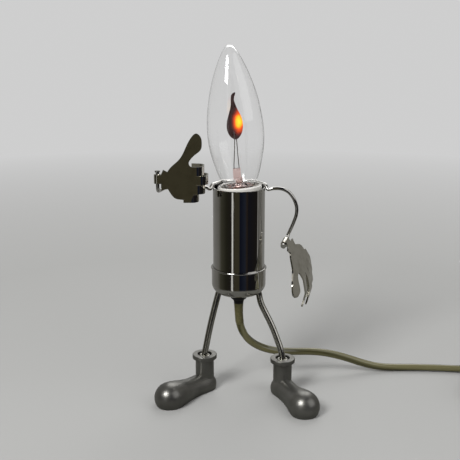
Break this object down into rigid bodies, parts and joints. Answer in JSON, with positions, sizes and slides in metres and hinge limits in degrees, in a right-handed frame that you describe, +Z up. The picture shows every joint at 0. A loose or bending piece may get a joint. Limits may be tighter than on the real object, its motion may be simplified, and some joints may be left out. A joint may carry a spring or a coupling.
{
  "type": "robot shaped desk lamp",
  "caption": "Chromed tube lamp shaped as a walking figure, with cast boots, bowed rod legs, a bent wire yoke with sheet hands, and a candle bulb as its head.",
  "frame": {"origin": "middle of the lamp's own box, without its cord, on the plane that its boots stand on", "axes": "+Z up, -Y towards the front that the boots point to, +X towards the lamp's hanging hand"},
  "size_m": [0.3524, 0.0975, 0.2293],
  "materials": {
    "chrome": "polished",
    "zinc_steel": "satin",
    "black_plastic": "matte",
    "cast_boot": "satin cast",
    "porcelain": "glazed",
    "brass": "drawn",
    "clear_flex": "clear golden",
    "bulb_glass": "clear",
    "solder": "dull",
    "stem_glass": "clear",
    "brown_disc": "matte",
    "flame_metal": "oxide coated",
    "dark_wire": "drawn",
    "plated_sheet": "plated sheet",
    "plug_plastic": "moulded"
  },
  "bodies": {
    "stand": {"body_tube": "chrome", "bottom_cup": "chrome", "leg_plate": "zinc_steel", "lamp_pipe": "zinc_steel", "pipe_nuts": "zinc_steel", "cord_grommet": "black_plastic", "leg_left": "chrome", "leg_right": "chrome", "leg_nuts": "zinc_steel", "boot_left": "cast_boot", "boot_right": "cast_boot", "lampholder_body": "porcelain", "screw_shell": "brass", "holder_bracket": "zinc_steel", "pivot_screws": "zinc_steel", "centre_contact": "brass", "terminals": "brass", "terminal_screws": "zinc_steel", "inner_cord": "clear_flex", "inner_leads": "clear_flex", "cord": "clear_flex", "cord_coil": "clear_flex", "cord_tail": "clear_flex", "plug_body": "plug_plastic", "plug_blades": "brass"},
    "yoke": {"arm_yoke": "chrome"},
    "left_hand": {"hand_left": "plated_sheet"},
    "right_hand": {"hand_right": "plated_sheet"},
    "bulb": {"bulb_glass": "bulb_glass", "bulb_cap": "brass", "bulb_insulator": "black_plastic", "bulb_contact": "solder", "bulb_stem": "stem_glass", "stem_disc": "brown_disc", "flame_plate_front": "flame_metal", "flame_plate_rear": "flame_metal", "flame_wires": "dark_wire"}
  },
  "joints": [
    {"name": "yoke_swivel", "type": "hinge", "parent": "stand", "child": "yoke", "pos_m": [0.00184, 0.01617, 0.1388], "axis": [0, 0, 1], "range_deg": [-15, 20]},
    {"name": "left_wrist", "type": "hinge", "parent": "yoke", "child": "left_hand", "pos_m": [-0.04976, 0.00217, 0.1458], "axis": [0, 0, 1], "range_deg": [-80, 5]},
    {"name": "right_wrist", "type": "hinge", "parent": "yoke", "child": "right_hand", "pos_m": [0.03274, 0.01587, 0.1023], "axis": [-0.3281, -0.8902, -0.3161], "range_deg": [-15, 60]},
    {"name": "bulb_lift", "type": "slide", "parent": "stand", "child": "bulb", "axis": [-0.0767, 0, 0.9971], "range_m": [0, 0.03]}
  ]
}
